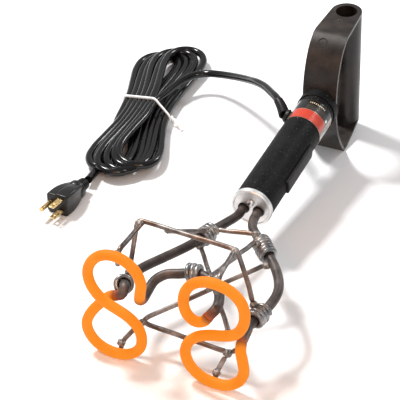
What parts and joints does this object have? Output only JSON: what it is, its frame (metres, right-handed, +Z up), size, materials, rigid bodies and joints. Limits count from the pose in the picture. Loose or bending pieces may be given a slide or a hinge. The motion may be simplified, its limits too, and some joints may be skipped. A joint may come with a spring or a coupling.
{
  "type": "electric livestock branding iron",
  "caption": "Corded electric marking iron: two bent heater loops on wire bracing, a black barrel with a trigger, and a D-shaped rear handle with a hollow grip.",
  "frame": {"origin": "centre of the tool's footprint on the floor, measured without the cord, its hank and its plug", "axes": "+Z up, -Y towards the hot figures, +Y towards the rear handle, +X to the right seen from behind the handle"},
  "size_m": [0.3399, 0.5242, 0.1466],
  "materials": {
    "sheath": "dark oxidised heater sheath",
    "hot_sheath": "glowing orange at working heat",
    "wire": "bare drawn wire, heat tinted",
    "cap": "cast and turned",
    "steel": "plain",
    "ceramic": "unglazed",
    "barrel": "fine matt black",
    "label": "gloss film with a red band",
    "carrier": "moulded",
    "trigger": "moulded",
    "switch": "moulded",
    "brass": "plain",
    "lead": "sleeved",
    "gland": "moulded",
    "handle": "satin, dark brown black",
    "cord": "gloss jacket",
    "tie": "plastic covered twist tie",
    "plug": "moulded"
  },
  "bodies": {
    "tool": {"barrel_plug": "steel", "bracket_wire": "wire", "cap_screw": "steel", "cold_leg_left": "sheath", "cold_leg_right": "sheath", "cord_gland": "gland", "cord_hank": "cord", "cord_lead": "cord", "cord_tail": "cord", "d_handle": "handle", "end_cap": "cap", "handle_barrel": "barrel", "handle_bolt": "steel", "hank_tie": "tie", "hot_loop_left": "hot_sheath", "hot_loop_right": "hot_sheath", "insulator_disc": "ceramic", "label_wrap": "label", "lead_heater": "lead", "lead_live": "lead", "lead_neutral": "lead", "link_tube": "sheath", "plug_blade_lower": "brass", "plug_blade_upper": "brass", "plug_body": "plug", "plug_ground_pin": "brass", "rear_collar": "barrel", "stay_cross": "wire", "stay_foot_left": "wire", "stay_foot_right": "wire", "stay_lower": "wire", "stay_lower_right": "wire", "stay_middle": "wire", "stay_upper_left": "wire", "stay_upper_right": "wire", "switch_body": "switch", "switch_carrier": "carrier", "switch_screw_front": "steel", "switch_screw_rear": "steel", "terminal_left": "steel", "terminal_right": "steel", "tie_wire_left": "wire", "tie_wire_rear": "wire", "trigger_pin": "steel", "trigger_spring": "steel", "wrap_left_lead": "wire", "wrap_left_leg": "wire", "wrap_link": "wire", "wrap_right_lower": "wire", "wrap_right_upper": "wire"},
    "trigger": {"trigger_paddle": "trigger"},
    "plunger": {"switch_plunger": "brass"}
  },
  "joints": [
    {"name": "trigger_press", "type": "hinge", "parent": "tool", "child": "trigger", "pos_m": [0.00799, 0.00692, 0.05416], "axis": [0, -0.1097, 0.994], "range_deg": [0, 2.2], "stiffness_Nm_per_rad": 1.2, "springref_deg": -1.15},
    {"name": "plunger_press", "type": "slide", "parent": "tool", "child": "plunger", "axis": [-1, 0, 0], "range_m": [0, 0.0016]}
  ],
  "couplings": [
    {"joint": "plunger_press", "follows": "trigger_press", "m_per_rad": 0.041}
  ]
}
